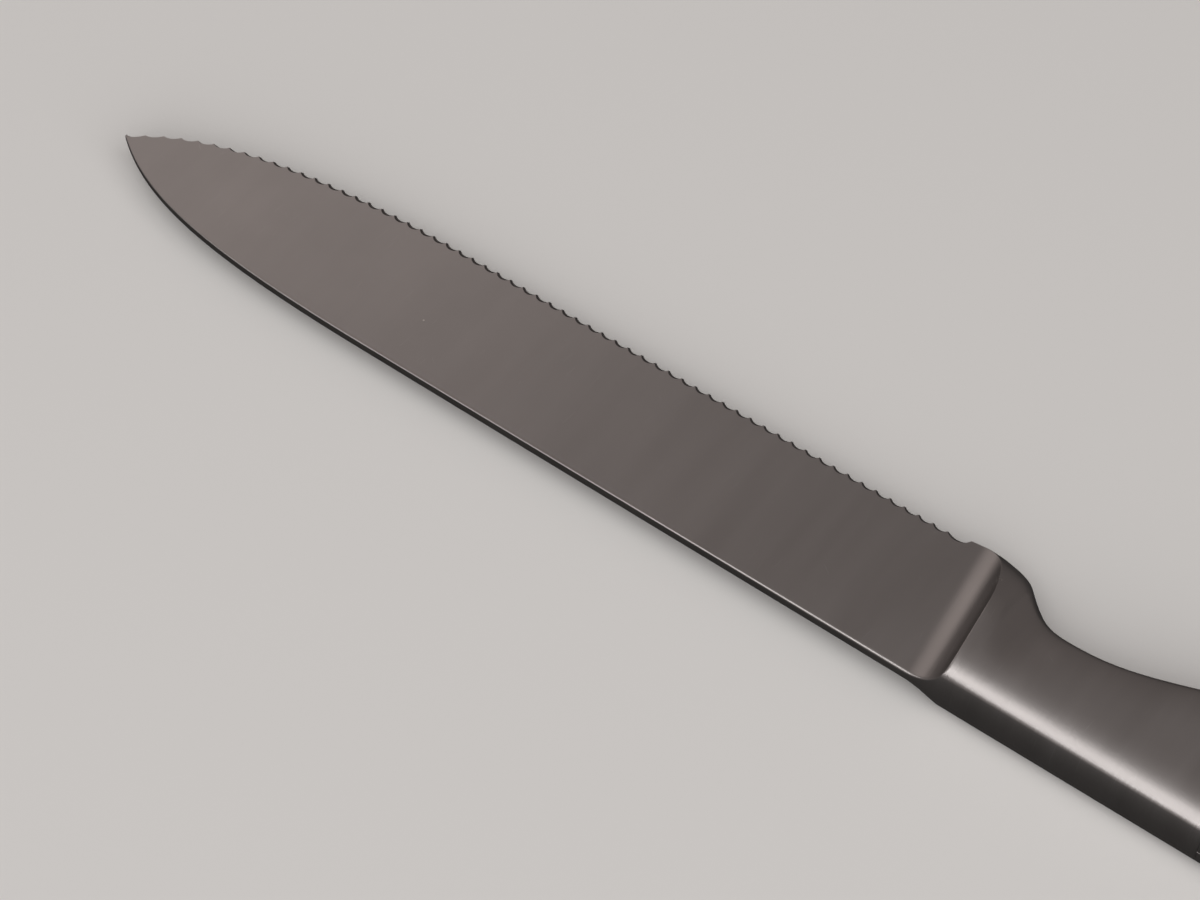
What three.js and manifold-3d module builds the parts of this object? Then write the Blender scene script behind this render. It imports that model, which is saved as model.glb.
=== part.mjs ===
// Serrated table knife: a forged stainless blade with its bolster, welded to a hollow pressed handle.
// The knife lies on its flank. +X runs from the tip to the butt, +Y towards the serrated edge, +Z up.
// Sizes are in millimetres. The origin is under the middle of the knife, on the surface it lies on.
// Inside the "knife" group, x is counted from the tip, y from the tip's line, z from the middle plane.

import * as THREE from "three";
import { mergeVertices } from "three/addons/utils/BufferGeometryUtils.js";
import Module from "manifold-3d";

const wasm = await Module();
wasm.setup();

// Lengths along the knife
const OVERALL = 235;
const HEEL_X = 126.4; // the plunge cut meets the bolster's flank here
const JOINT_X = 160; // the handle shells are welded on here
const CAP_X = 227; // the butt cap starts here

// The bar that bolster and handle share
const HALF_THICKNESS = 4.3;
const WALL = 1.0; // of the pressed shells
const FIT_GAP = 0.3; // round every piece that sits inside the handle
const SPIGOT = 4; // how far bolster and cap reach into the shells

// The blade, half thicknesses from the middle plane to one face
const HALF_SPINE_AT_HEEL = 0.78;
const FACE_FALL_TO_EDGE = 0.0226; // mm per mm of width
const FACE_FALL_TO_TIP = 0.0013; // mm per mm of length
const PLUNGE_RADIUS = 5.0;
const PLUNGE_STEEPEST = THREE.MathUtils.degToRad(75);
const HEEL_LEAN = THREE.MathUtils.degToRad(6); // the plunge's edge end leans to the tip

// The scalloped edge
const FIRST_CUSP_X = 0.04;
const SCALLOP_PITCH = 1.97;
const SCALLOP_COUNT = 59;
const SCALLOP_DEPTH = 0.42;
const LAST_SCALLOP = { x: 117.6, halfWidth: 1.25 }; // the last one is longer
const CUSP_LAND = 0.15; // left standing between two scallops

// The tang and what holds and balances it
const TANG = { length: 46, rootWidth: 9, tipWidth: 6, thickness: 3.2 };
const HANDLE_AXIS_Y = 0.8; // the tang lies on this line
const CEMENT_END_X = 211;
const WEIGHT = { start: 211.5, end: 221.5 };

// Outline of the knife in plan, as curves that only ever run towards the butt
const p = (x, y) => new THREE.Vector2(x, y);
const TIP_HALF_WIDTH = 0.15;

const edgeSide = [
  new THREE.CubicBezierCurve(p(0, TIP_HALF_WIDTH), p(5.9, 5.15), p(16, 10.45), p(48, 10.5)),
  new THREE.LineCurve(p(48, 10.5), p(118.9, 10.75)),
  new THREE.CubicBezierCurve(p(118.9, 10.75), p(120.6, 11.15), p(122.6, 11.1), p(124.2, 10.85)),
  new THREE.CubicBezierCurve(p(124.2, 10.85), p(126.2, 10.5), p(127.6, 10.1), p(128.4, 9.3)),
  new THREE.CubicBezierCurve(p(128.4, 9.3), p(130.8, 7), p(132.8, 4.75), p(137, 4.75)),
  new THREE.CubicBezierCurve(p(137, 4.75), p(147, 4.75), p(155.5, 11.85), p(167, 11.85)),
  new THREE.CubicBezierCurve(p(167, 11.85), p(179, 11.85), p(191, 9.3), p(203, 9.3)),
  new THREE.CubicBezierCurve(p(203, 9.3), p(213, 9.3), p(219, 12.1), p(226, 12.1)),
  new THREE.CubicBezierCurve(p(226, 12.1), p(231, 12.1), p(OVERALL, 9), p(OVERALL, 4)),
];

const spineSide = [
  new THREE.CubicBezierCurve(p(0, -TIP_HALF_WIDTH), p(8, -6), p(18.7, -8.45), p(46, -8.45)),
  new THREE.LineCurve(p(46, -8.45), p(127, -8.7)),
  new THREE.LineCurve(p(127, -8.7), p(190, -8.7)),
  new THREE.CubicBezierCurve(p(190, -8.7), p(212, -8.7), p(OVERALL, -6.5), p(OVERALL, 1)),
];

const LOWEST_Y = -8.7;
const HIGHEST_Y = 12.1;

// One quarter of the bar's section, from the flat flank to the middle of the narrow side:
// inset from the side, height from the middle plane. The third point is the crisp crease.
const QUARTER = [
  [3.6, 4.3],
  [2.4, 4.1],
  [1.5, 3.75],
  [0.75, 3.25],
  [0.19, 1.6],
  [0, 0],
];
const NARROWEST_FULL_SECTION = 9;

// The lug's quarter: its flank slopes down into a rounded nose. The edge side has it at the heel, and
// turns back into the plain quarter along the finger relief.
const LUG_QUARTER = [
  [7, 4.3],
  [4.4, 3.1],
  [2.35, 2.12],
  [0.9, 1.28],
  [0.1, 0.5],
  [0, 0],
];
const LUG = { start: 100, risen: 115, fading: 127.5, end: 137.5 };

const endpoints = (curve) => [curve.getPoint(0).x, curve.getPoint(1).x];

// Height of an outline at x, by halving the parameter range of the curve that spans x.
function outlineAt(curves, x) {
  const curve = curves.find((c) => x <= endpoints(c)[1]) ?? curves[curves.length - 1];
  let low = 0;
  let high = 1;
  for (let i = 0; i < 40; i += 1) {
    const middle = (low + high) / 2;
    if (curve.getPoint(middle).x < x) low = middle;
    else high = middle;
  }
  return curve.getPoint((low + high) / 2).y;
}

// The flanks stay flat up to the cap, then round over towards the butt.
const ROUNDING_START = OVERALL - 6;
const ROUNDING_LENGTH = 6.4;

function halfThicknessAt(x) {
  const into = Math.max(0, x - ROUNDING_START) / ROUNDING_LENGTH;
  return HALF_THICKNESS * Math.sqrt(1 - into * into);
}

// How much of the lug's quarter the edge side has at x.
function lugShareAt(x) {
  const rising = THREE.MathUtils.smoothstep(x, LUG.start, LUG.risen);
  return rising * (1 - THREE.MathUtils.smoothstep(x, LUG.fading, LUG.end));
}

// Closed ring of section points at x, from the top flank towards the edge side and round.
function sectionAt(x, inset) {
  const back = outlineAt(spineSide, x) + inset;
  const front = outlineAt(edgeSide, x) - inset;
  const half = halfThicknessAt(x) - inset;
  const squeeze = Math.min(1, (front - back) / NARROWEST_FULL_SECTION);
  const share = lugShareAt(x);
  const blend = ([i, z], n) => [
    THREE.MathUtils.lerp(i, LUG_QUARTER[n][0], share),
    THREE.MathUtils.lerp(z, LUG_QUARTER[n][1], share),
  ];
  const fit = ([i, z]) => [i * squeeze, (z * half) / HALF_THICKNESS];
  const mirrored = (quarter) => quarter.slice(0, -1).reverse().map(([i, z]) => [i, -z]);
  const edgeQuarter = QUARTER.map(blend).map(fit);
  const spineQuarter = QUARTER.map(fit);
  const edgeHalf = [...edgeQuarter, ...mirrored(edgeQuarter)];
  const spineHalf = [...spineQuarter, ...mirrored(spineQuarter)].map(([i, z]) => [i, -z]);
  return [
    ...edgeHalf.map(([i, z]) => new THREE.Vector3(x, front - i, z)),
    ...spineHalf.map(([i, z]) => new THREE.Vector3(x, back + i, z)),
  ];
}

// Solid skin over the sections at the given stations: a cylinder whose rings are moved onto them.
function loft(stations, inset = 0) {
  const rings = stations.map((x) => sectionAt(x, inset));
  const around = rings[0].length;
  const lastRow = stations.length - 1;
  const geometry = new THREE.CylinderGeometry(1, 1, 1, around, lastRow);
  const position = geometry.attributes.position;
  const target = new THREE.Vector3();
  for (let i = 0; i < position.count; i += 1) {
    const ring = rings[Math.round((0.5 - position.getY(i)) * lastRow)];
    const sine = position.getX(i);
    const cosine = position.getZ(i);
    if (Math.hypot(sine, cosine) < 0.5) {
      target.set(0, 0, 0);
      ring.forEach((point) => target.addScaledVector(point, 1 / around));
    } else {
      const step = Math.round((Math.atan2(sine, cosine) / (2 * Math.PI)) * around);
      target.copy(ring[(step + around) % around]);
    }
    position.setXYZ(i, target.x, target.y, target.z);
  }
  return geometry;
}

const between = (start, end, count) =>
  Array.from({ length: count + 1 }, (_, i) => start + ((end - start) * i) / count);

function toSolid(geometry) {
  const bare = geometry.clone();
  bare.deleteAttribute("normal");
  bare.deleteAttribute("uv");
  const merged = mergeVertices(bare, 1e-5);
  return new wasm.Manifold(
    new wasm.Mesh({
      numProp: 3,
      vertProperties: new Float32Array(merged.attributes.position.array),
      triVerts: new Uint32Array(merged.index.array),
    }),
  );
}

function toGeometry(solid) {
  const mesh = solid.getMesh();
  const geometry = new THREE.BufferGeometry();
  geometry.setAttribute("position", new THREE.BufferAttribute(mesh.vertProperties, 3));
  geometry.setIndex(new THREE.BufferAttribute(mesh.triVerts, 1));
  geometry.computeVertexNormals();
  return geometry;
}

function steel(color, roughness) {
  return new THREE.MeshStandardMaterial({ color, roughness, metalness: 1 });
}

function named(name, geometry, material) {
  const mesh = new THREE.Mesh(geometry, material);
  mesh.name = name;
  return mesh;
}

// ---- Blade forging: blade, plunge, bolster, spigot and tang in one piece ----

// What the grinder takes off one side: a flat face that ends in a hollow cylindrical plunge.
function grindingCut(side) {
  const faceAtMiddle = HALF_SPINE_AT_HEEL + LOWEST_Y * FACE_FALL_TO_EDGE;
  const rise = HALF_THICKNESS - faceAtMiddle;
  const run = Math.sqrt(rise * (2 * PLUNGE_RADIUS - rise));
  const reach = 160;
  const profile = new THREE.Shape();
  profile.moveTo(-reach, 0);
  profile.lineTo(-run, 0);
  profile.absarc(-run, PLUNGE_RADIUS, PLUNGE_RADIUS, -Math.PI / 2, PLUNGE_STEEPEST - Math.PI / 2, false);
  profile.lineTo(8, 12);
  profile.lineTo(-reach, 12);
  const geometry = new THREE.ExtrudeGeometry(profile, { depth: 120, bevelEnabled: false, curveSegments: 9 });
  geometry.translate(0, 0, -60);
  geometry.rotateX(Math.PI / 2);
  if (side < 0) geometry.rotateX(Math.PI);
  geometry.rotateZ(HEEL_LEAN);
  geometry.rotateX(-side * Math.atan(FACE_FALL_TO_EDGE));
  geometry.rotateY(-side * Math.atan(FACE_FALL_TO_TIP));
  geometry.translate(HEEL_X, 0, side * faceAtMiddle);
  return toSolid(geometry);
}

// Round cutter, upright, that leaves a scallop of the given half width and depth in the edge.
function scallopCut(x, halfWidth, depth) {
  const radius = (halfWidth * halfWidth + depth * depth) / (2 * depth);
  const geometry = new THREE.CylinderGeometry(radius, radius, 6, 14);
  geometry.rotateX(Math.PI / 2);
  geometry.translate(x, outlineAt(edgeSide, x) + radius - depth, 0);
  return toSolid(geometry);
}

function scallopCuts() {
  const halfWidth = (SCALLOP_PITCH - CUSP_LAND) / 2;
  const cuts = [];
  for (let i = 0; i < SCALLOP_COUNT; i += 1) {
    const x = FIRST_CUSP_X + SCALLOP_PITCH * (i + 0.5);
    const depth = SCALLOP_DEPTH * Math.min(1, 0.6 + x / 60);
    cuts.push(scallopCut(x, halfWidth, depth));
  }
  cuts.push(scallopCut(LAST_SCALLOP.x, LAST_SCALLOP.halfWidth, SCALLOP_DEPTH));
  return cuts;
}

function tangSolid() {
  const { length, rootWidth, tipWidth, thickness } = TANG;
  const start = JOINT_X + SPIGOT - 1;
  const end = JOINT_X + SPIGOT + length;
  const outline = new THREE.Shape();
  outline.moveTo(start, -rootWidth / 2);
  outline.lineTo(end - 2, -tipWidth / 2);
  outline.lineTo(end, -tipWidth / 2 + 2);
  outline.lineTo(end, tipWidth / 2 - 2);
  outline.lineTo(end - 2, tipWidth / 2);
  outline.lineTo(start, rootWidth / 2);
  const geometry = new THREE.ExtrudeGeometry(outline, { depth: thickness, bevelEnabled: false });
  geometry.translate(0, HANDLE_AXIS_Y, -thickness / 2);
  return toSolid(geometry);
}

function bladeForging() {
  const stations = [
    ...[0, 1, 2.5, 4.5, 7, 10, 13.5, 17.5, 22, 27, 33, 40, 48, 84, 118.9, 119.9, 121, 122.5, 124.2, 125.8],
    ...[127, 127.8, 128.4, 129.2, 130.2, 131.3, 132.5, 133.8, 135.3, 137, 139.5, 142, 145, 148, 151, 154],
    ...[157, JOINT_X],
  ];
  let solid = toSolid(loft(stations));
  solid = solid.subtract(grindingCut(1)).subtract(grindingCut(-1));
  for (const cut of scallopCuts()) solid = solid.subtract(cut);
  const spigot = toSolid(loft([JOINT_X - 1, JOINT_X + SPIGOT], WALL + FIT_GAP));
  return toGeometry(solid.add(spigot).add(tangSolid()));
}

// ---- Hollow handle ----

function shell(side) {
  const outer = toSolid(loft(between(JOINT_X, CAP_X, 15)));
  const hollow = toSolid(loft(between(JOINT_X - 1, CAP_X + 1, 15), WALL));
  const otherHalf = new THREE.BoxGeometry(OVERALL, 60, 20);
  otherHalf.translate(OVERALL - 40, 0, -side * 10);
  return toGeometry(outer.subtract(hollow).subtract(toSolid(otherHalf)));
}

function buttCap() {
  const stations = [CAP_X, 228.5, 230, 231.3, 232.4, 233.3, 234, 234.5, 234.8, OVERALL];
  const spigot = toSolid(loft([CAP_X - SPIGOT, CAP_X + 1], WALL + FIT_GAP));
  return toGeometry(toSolid(loft(stations)).add(spigot));
}

// ---- What the handle holds ----

// Fills the front of the handle and grips the tang, which sits in a pocket open to the front.
function settingCement() {
  const { length, rootWidth, thickness } = TANG;
  const start = JOINT_X + SPIGOT + FIT_GAP;
  const fill = toSolid(loft(between(start, CEMENT_END_X, 8), WALL + FIT_GAP));
  const pocket = new THREE.BoxGeometry(length + 2, rootWidth + 2 * FIT_GAP, thickness + 2 * FIT_GAP);
  pocket.translate(JOINT_X + SPIGOT + length / 2, HANDLE_AXIS_Y, 0);
  return toGeometry(fill.subtract(toSolid(pocket)));
}

function balanceWeight() {
  return loft(between(WEIGHT.start, WEIGHT.end, 3), WALL + FIT_GAP);
}

const knife = new THREE.Group();
knife.add(named("blade_forging", bladeForging(), steel(0x9a9694, 0.38)));
knife.add(named("handle_shell_upper", shell(1), steel(0x979391, 0.36)));
knife.add(named("handle_shell_lower", shell(-1), steel(0x979391, 0.36)));
knife.add(named("butt_cap", buttCap(), steel(0x9b9795, 0.34)));
knife.add(
  named(
    "setting_cement",
    settingCement(),
    new THREE.MeshStandardMaterial({ color: 0x8a8377, roughness: 0.95, metalness: 0 }),
  ),
);
knife.add(named("balance_weight", balanceWeight(), steel(0x55524f, 0.7)));
knife.position.set(-OVERALL / 2, -(LOWEST_Y + HIGHEST_Y) / 2, HALF_THICKNESS);

const model = new THREE.Group();
model.add(knife);

export default model;
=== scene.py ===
"""Serrated table knife with a hollow steel handle, finished over its CAD frame.

Shapes are worked out in millimetres in the knife's own coordinates: x from the tip to the butt,
y from the tip's line towards the serrated edge, z from the middle plane. Settings, the stage and
the finished meshes are in metres.
"""

import math

import bpy
import numpy as np
from bpy.props import FloatProperty, FloatVectorProperty, IntProperty, PointerProperty
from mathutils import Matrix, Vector


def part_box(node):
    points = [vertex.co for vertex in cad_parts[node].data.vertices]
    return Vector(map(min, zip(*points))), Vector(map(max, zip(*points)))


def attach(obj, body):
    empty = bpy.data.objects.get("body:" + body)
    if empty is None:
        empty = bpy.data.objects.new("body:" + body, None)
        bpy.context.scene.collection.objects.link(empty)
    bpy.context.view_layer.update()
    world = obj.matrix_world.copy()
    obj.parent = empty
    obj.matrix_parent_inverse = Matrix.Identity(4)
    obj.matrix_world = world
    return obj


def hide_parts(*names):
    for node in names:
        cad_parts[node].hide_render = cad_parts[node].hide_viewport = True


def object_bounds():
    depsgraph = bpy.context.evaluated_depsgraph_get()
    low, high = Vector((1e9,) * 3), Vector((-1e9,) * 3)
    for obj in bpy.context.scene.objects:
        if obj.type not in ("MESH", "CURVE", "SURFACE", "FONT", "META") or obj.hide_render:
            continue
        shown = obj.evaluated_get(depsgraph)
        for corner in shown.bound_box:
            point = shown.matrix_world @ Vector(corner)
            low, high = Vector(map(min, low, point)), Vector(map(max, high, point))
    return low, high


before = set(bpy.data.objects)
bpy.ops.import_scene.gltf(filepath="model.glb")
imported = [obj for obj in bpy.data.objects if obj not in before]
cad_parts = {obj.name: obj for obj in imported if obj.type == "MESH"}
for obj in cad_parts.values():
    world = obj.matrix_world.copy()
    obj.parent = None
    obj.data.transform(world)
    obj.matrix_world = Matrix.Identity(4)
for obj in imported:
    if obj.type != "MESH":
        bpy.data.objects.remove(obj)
cad_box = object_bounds()

bl_info = {
    "name": "Serrated table knife",
    "version": (1, 0, 0),
    "blender": (4, 5, 0),
    "location": "3D View > Sidebar > Knife",
    "description": "Builds the finished pieces of a serrated table knife around its CAD frame",
    "category": "Add Mesh",
}

MM = 0.001

# ---- Driving dimensions, in millimetres ----

HEEL_X = 126.4  # the plunge meets the flat flank here, on the tip's line
JOINT_X = 160.0  # blade forging and handle shells meet here
CAP_X = 227.0
BUTT_X = 235.0
HALF_THICKNESS = 4.3
LOWEST_Y = -8.7
WORN_Y = 6.4  # where the heel line is knocked about most
WORN_BEFORE = 0.45  # the knocks lie this far before the heel line
FIT_GAP = 0.3  # between the spigots and the shells
SPIGOT = 4.0
TANG_LENGTH = 46.0
TANG_ROOT_WIDTH = 9.0
TANG_TIP_WIDTH = 6.0
TANG_THICKNESS = 3.2
TANG_POINT_LENGTH = 2.0  # the tang's last stretch narrows to its point
TANG_POINT_WIDTH = 3.0
TANG_POINT_THICKNESS = 2.56
HANDLE_AXIS_Y = 0.8

# Plan outline, as Bezier curves that run towards the butt
EDGE_SIDE = (
    ((0, 0.15), (5.9, 5.15), (16, 10.45), (48, 10.5)),
    ((48, 10.5), (118.9, 10.75)),
    ((118.9, 10.75), (120.6, 11.15), (122.6, 11.1), (124.2, 10.85)),
    ((124.2, 10.85), (126.2, 10.5), (127.6, 10.1), (128.4, 9.3)),
    ((128.4, 9.3), (130.8, 7), (132.8, 4.75), (137, 4.75)),
    ((137, 4.75), (147, 4.75), (155.5, 11.85), (167, 11.85)),
    ((167, 11.85), (179, 11.85), (191, 9.3), (203, 9.3)),
    ((203, 9.3), (213, 9.3), (219, 12.1), (226, 12.1)),
    ((226, 12.1), (231, 12.1), (BUTT_X, 9), (BUTT_X, 4)),
)
SPINE_SIDE = (
    ((0, -0.15), (8, -6), (18.7, -8.45), (46, -8.45)),
    ((46, -8.45), (127, -8.7)),
    ((127, -8.7), (190, -8.7)),
    ((190, -8.7), (212, -8.7), (BUTT_X, -6.5), (BUTT_X, 1)),
)

# Section of the bar: a side of this radius up to a crisp crease, then a shoulder to the flat flank
SIDE_RADIUS = 7.4
CREASE_INSET = 0.75
CREASE_Z = 3.25
SHOULDER = ((CREASE_INSET, CREASE_Z), (1.5, 3.9), (3.0, 4.25), (6.0, HALF_THICKNESS))

# On the edge side the lug's flank slopes down into a rounded nose instead. It turns back into the
# plain section along the finger relief.
LUG_SHOULDER = ((0, 0.4), (0.7, 1.55), (3.2, 2.6), (7.0, HALF_THICKNESS))
LUG_START, LUG_RISEN = 100, 115
LUG_FADING, LUG_END = 127.5, 137.5

# The flanks round over towards the butt
ROUNDING_START = 229.0
ROUNDING_LENGTH = 6.0

# Rows across a flank, by their distance from the nearer side of a full-width section
ROW_INSETS = (0, 0.2, 0.45, 0.75, 1.1, 1.5, 2.0, 2.6, 3.3, 4.2, 5.3, 7.0)
FULL_WIDTH = 19.0
WALL_ROWS = (0.5, 0.39, 0.28, 0.16, 0.06)  # shares of the side's whole height, from its upper corner down
CORNER_STEPS = (0.25, 0.5, 0.75)
OUTLINE_STEPS = 400
SHOULDER_STEPS = 300
MOST_STRETCH = 1.6

# The roundings change along the knife: the spine's grows towards the heel, and both sides take the
# bolster's crease rounding behind the blade
EDGE_ROUNDING = 0.02
ROOM_BY_HEIGHT = 0.4  # a rounding takes no more than this share of its corner's height
ROOM_BY_WIDTH = 0.15  # nor more than this share of the width
SPINE_GROWS = (70, 120)
SPINE_GROWTH = 1.2
CREASE_TAKES_OVER = (122, 128)

# Stations in one scallop, as shares of the pitch, from the middle of one cusp to the next cusp
SCALLOP_STATIONS = (0, 0.038, 0.1, 0.17, 0.26, 0.36, 0.45, 0.55, 0.64, 0.74, 0.83, 0.9, 0.962)
GRIND_REACH = 1.5  # rows up to this far from the edge move with the scallops
GRIND_SHARE = 0.45  # but no more than this share of the width

# A scallop leans through most of the edge's thickness, and ends below in a flatter lip
LIP_START = 0.88
LIP_SHARE = 0.26

# Rings along the knife, besides those of the scallops
WIDE_STATIONS = 18
HEEL_STATIONS = 9
PLUNGE_STEPS = 22
PLUNGE_SEARCH = 1.5  # the heel line is looked for up to this far behind HEEL_X
NECK_START = 0.3
NECK_STEPS = ((129, 0.28), (134, 0.5), (JOINT_X, 1.0))  # each step is used up to its x
SHELL_STEP = 0.8
CAP_STEP = 0.4
CAP_TURN_STEPS = 26
BUTT_FLAT = 0.004  # the last ring is this far before the very end

# ---- Finish of the steel ----

BLADE_GRIND = {"lines_per_mm": 3.0, "line_length": 12.0, "line_depth": 0.000005, "scratches": 0.35}
HANDLE_GRIND = {"lines_per_mm": 3.0, "line_length": 12.0, "line_depth": 0.000025, "scratches": 0.3}
BOLSTER_GAIN = 5.0  # how much deeper the lines are behind the heel line
TONE_SPREAD = 0.015
TONE_ROUGHNESS = 0.06
SMEAR_TINT = 0.93
SMEAR_ROUGHNESS = 0.04
SCRATCH_DEPTH = 0.6  # in depths of a grinding line, as is the next
KNOCK_DEPTH = 6.0
SCRATCH_COLOUR = (0.8, 0.79, 0.77, 1)
SPECK_COLOUR = (0.85, 0.82, 0.78, 1)
# Knocks at the heel line are real wear; their bright colour is a painted glint
KNOCK_AND_GLINT_COLOUR = (0.95, 0.9, 0.86, 1)
STEEL_IN_STEEL = 0.7  # steel that is seen in steel loses this share of its light

# Each set of hairlines: its turn, its fineness across and along, and how rare it is
HAIRLINES = (
    (0.1, (9000, 190, 190), 0.74),
    (-0.16, (8000, 240, 240), 0.76),
    (2.2, (6500, 300, 300), 0.79),
)
HAIR_FADE = 0.06
SPECKS_PER_METRE = 130.0
SPECK_SIZE = (0.012, 0.02)  # solid up to the first and gone at the second, in spacings
SMEARS_PER_METRE = 55.0
KNOCKS_PER_METRE = 4200.0
KNOCK_REACH = (0.2 * MM, 1.1 * MM)

# ---- Stage, in metres ----

FLOOR_REACH = 8.0
FLOOR_CLEARANCE = 0.00002
FLOOR_IN_STEEL = 0.05  # painted dark reflection: the steel sees this share of the floor's colour
CAMERA_AIM = (77.13, -3.99, 0.35)  # in the knife's millimetres
CAMERA_AZIMUTH = math.radians(36.05)
CAMERA_ELEVATION = math.radians(55)
CAMERA_DISTANCE = 0.3591
CAMERA_LENS = 91.7
ROOM_COLOUR = (1.0, 0.9, 0.865, 1)
WHITE = (1.0, 1.0, 1.0)
WARM = (1.0, 0.91, 0.875)

# Each light's name, direction, distance, size, power setting, aim and colour
LIGHTS = (
    ("key_light", (-0.34, -0.34, 0.88), 0.9, (0.32, 1.04), "key_power", (0, 0, 0), WHITE),
    ("fill_light", (0.6, -0.5, 0.62), 1.6, (2.4, 2.4), "fill_power", (0, 0, 0), WHITE),
    ("back_light", (-0.66, 0.48, 0.58), 0.45, (0.3, 0.3), "back_power", (-0.05, 0, 0), WARM),
    ("low_light", (-0.86, 0.41, 0.32), 0.6, (0.16, 0.24), "low_power", (0.006, 0, 0), WARM),
)


def bezier(points, t):
    """Points of one Bezier curve of any degree at the parameters t."""
    points = np.array(points, float)
    degree = len(points) - 1
    total = np.zeros((len(t), points.shape[1]))
    for i, point in enumerate(points):
        weight = math.comb(degree, i) * t**i * (1 - t) ** (degree - i)
        total += weight[:, None] * point
    return total


def rounded(before, corner, after, t):
    """Where a rounding passes between two points, drawn towards their corner."""
    return (1 - t) ** 2 * before + 2 * t * (1 - t) * corner + t**2 * after


def smooth_step(x, start, end):
    """0 up to the start and 1 from the end, with a smooth passage between them."""
    share = np.clip((x - start) / (end - start), 0, 1)
    return share * share * (3 - 2 * share)


class Outline:
    """One side of the plan outline, as y over x."""

    def __init__(self, curves, inward, has_lug):
        t = np.linspace(0, 1, OUTLINE_STEPS)
        points = np.vstack([bezier(curve, t)[1:] for curve in curves])
        self.x = np.concatenate([[curves[0][0][0]], points[:, 0]])
        self.y = np.concatenate([[curves[0][0][1]], points[:, 1]])
        steps = np.maximum(np.diff(self.x), 1e-6)
        self.slope = np.append(np.diff(self.y) / steps, 0)
        self.inward = inward
        self.has_lug = has_lug

    def lug_share(self, x):
        """How much of the lug's shoulder this side has at x."""
        if not self.has_lug:
            return np.zeros_like(x, float)
        return smooth_step(x, LUG_START, LUG_RISEN) * (1 - smooth_step(x, LUG_FADING, LUG_END))

    def at(self, x, inset=0.0):
        return np.interp(x, self.x, self.y) + self.inward * inset

    def stretch(self, x):
        """How much longer a distance across the outline is when it is measured along y."""
        slope = np.interp(x, self.x, self.slope)
        return np.minimum(np.sqrt(1 + slope**2), MOST_STRETCH)


edge_side = Outline(EDGE_SIDE, -1, has_lug=True)
spine_side = Outline(SPINE_SIDE, 1, has_lug=False)
shoulder_curve = bezier(SHOULDER, np.linspace(0, 1, SHOULDER_STEPS))
lug_curve = bezier(LUG_SHOULDER, np.linspace(0, 1, SHOULDER_STEPS))


def bar_height(inset, lug_share):
    """Height of the bar's upper half at a distance inside its outline."""
    drop = np.clip(SIDE_RADIUS - inset, 0, SIDE_RADIUS)
    side = np.sqrt(SIDE_RADIUS**2 - drop**2)
    shoulder = np.interp(inset, shoulder_curve[:, 0], shoulder_curve[:, 1])
    plain = np.where(inset < CREASE_INSET, np.minimum(side, CREASE_Z), shoulder)
    lug = np.interp(inset, lug_curve[:, 0], lug_curve[:, 1])
    return plain + (lug - plain) * lug_share


def side_inset(z, lug_share):
    """How far the side has drawn in at height z, up to the crease."""
    low = np.zeros(np.broadcast(z, lug_share).shape)
    high = np.full_like(low, CREASE_INSET)
    for _ in range(16):
        middle = (low + high) / 2
        below = bar_height(middle, lug_share) < z
        low = np.where(below, middle, low)
        high = np.where(below, high, middle)
    return (low + high) / 2


def half_thickness(x):
    into = np.clip((x - ROUNDING_START) / ROUNDING_LENGTH, 0, 1)
    return HALF_THICKNESS * np.sqrt(1 - into**2)


class Ground:
    """The face that the grinder leaves on one side: flat, ending in a hollow cylindrical plunge."""

    def __init__(self, blade):
        self.radius = blade.plunge_radius / MM
        self.lean = blade.heel_lean
        self.to_edge = blade.fall_to_edge
        self.to_tip = blade.fall_to_tip
        self.middle = blade.spine_thickness / MM / 2 + LOWEST_Y * self.to_edge
        rise = HALF_THICKNESS - self.middle
        self.run = math.sqrt(rise * (2 * self.radius - rise))

    def height(self, x, y):
        across = (x - HEEL_X) * math.cos(self.lean) + y * math.sin(self.lean) + self.run
        across = np.clip(across, 0, self.radius)
        climb = self.radius - np.sqrt(self.radius**2 - across**2)
        return self.middle + (x - HEEL_X) * self.to_tip - y * self.to_edge + climb

    def tangent_x(self, y):
        """Where the flat face turns up into the plunge."""
        return HEEL_X - (self.run + y * math.sin(self.lean)) / math.cos(self.lean)


class Bar:
    """The knife's body between two rings: the plain bar, or the bar with both its sides ground."""

    def __init__(self, ground=None, inset=0.0):
        self.ground = ground
        self.inset = inset

    def crease_height(self, outline, x):
        crease = bar_height(CREASE_INSET, outline.lug_share(x))
        return crease * (half_thickness(x) - self.inset) / HALF_THICKNESS

    def corner(self, outline, x):
        """The crisp corner between the side and the face, at x: (y, z)."""
        start = outline.at(x, self.inset)
        crease = self.crease_height(outline, x)
        y = start
        for _ in range(4):
            z = crease
            if self.ground:
                z = np.minimum(self.ground.height(x, y), crease)
            y = start + outline.inward * side_inset(z, outline.lug_share(x)) * outline.stretch(x)
        return y, z

    def height(self, x, y):
        """The upper face's height above the middle plane."""
        from_spine = (y - spine_side.at(x, self.inset)) / spine_side.stretch(x)
        from_edge = (edge_side.at(x, self.inset) - y) / edge_side.stretch(x)
        scale = (half_thickness(x) - self.inset) / HALF_THICKNESS
        spine_part = bar_height(from_spine, 0)
        edge_part = bar_height(from_edge, edge_side.lug_share(x))
        bar = np.minimum(spine_part, edge_part) * scale
        if self.ground:
            bar = np.minimum(bar, self.ground.height(x, y))
        return bar


near_rows = np.array(ROW_INSETS) / FULL_WIDTH
ROWS = np.concatenate([near_rows, [0.5], 1 - near_rows[::-1]])


def rounding_size(outline, x, corner_z, rounding):
    """The size that a corner's rounding has room for at x."""
    width = edge_side.at(x) - spine_side.at(x)
    return np.minimum(rounding, np.minimum(ROOM_BY_HEIGHT * corner_z, ROOM_BY_WIDTH * width))


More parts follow.
